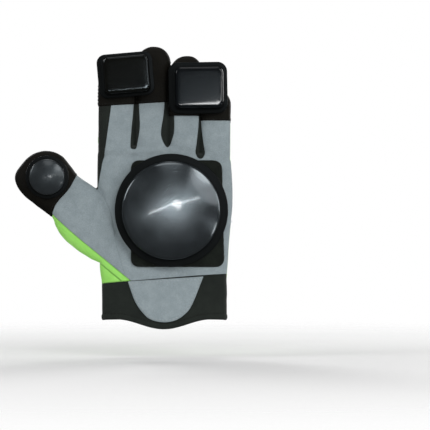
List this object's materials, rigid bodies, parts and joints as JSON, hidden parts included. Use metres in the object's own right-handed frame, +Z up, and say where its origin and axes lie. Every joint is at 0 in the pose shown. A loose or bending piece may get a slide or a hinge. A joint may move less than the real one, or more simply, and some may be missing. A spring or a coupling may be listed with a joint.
{
  "type": "longboard slide glove",
  "caption": "Left-hand longboard slide glove: grey suede palm with a large turned puck, block pucks on the fingers and a thumb puck, lime back, ribbed knuckle and a black cuff with a strap.",
  "frame": {"origin": "centre of the wrist opening, on the hem line of the cuff", "axes": "+Z up along the fingers, +X towards the little finger, +Y out of the back of the hand, the palm and its pucks facing -Y"},
  "size_m": [0.1918, 0.0496, 0.2491],
  "materials": {
    "suede": "matte",
    "black_leather": "matte",
    "black_stretch": "matte",
    "ribbed_knuckle": "matte",
    "white_piping": "satin",
    "lime_cloth": "matte",
    "strap_loop": "matte",
    "hook_tape": "matte",
    "puck_plastic": "semi-gloss"
  },
  "bodies": {
    "root": {"palm_panel": "suede", "thumb_panel": "suede", "wrist_tongue": "suede", "index_cap": "black_leather", "middle_cap": "black_leather", "ring_cap": "black_leather", "little_cap": "black_leather", "thumb_cap": "black_leather", "index_middle_strip": "black_stretch", "middle_ring_strip": "black_stretch", "ring_little_strip": "black_stretch", "index_side_panel": "black_stretch", "cuff": "black_stretch", "wrist_back_panel": "black_stretch", "knuckle_panel": "ribbed_knuckle", "knuckle_piping": "white_piping", "index_back": "lime_cloth", "middle_back": "lime_cloth", "ring_back": "lime_cloth", "little_back": "lime_cloth", "hand_back_panel": "lime_cloth", "thumb_back_panel": "lime_cloth", "thumb_gusset": "lime_cloth", "wrist_strap": "strap_loop", "palm_patch": "strap_loop", "palm_puck_hook_pad": "hook_tape", "thumb_puck_hook_pad": "hook_tape", "index_middle_puck_hook_pad": "hook_tape", "ring_little_puck_hook_pad": "hook_tape", "palm_puck": "puck_plastic", "thumb_puck": "puck_plastic", "index_middle_puck": "puck_plastic", "ring_little_puck": "puck_plastic"}
  },
  "joints": []
}
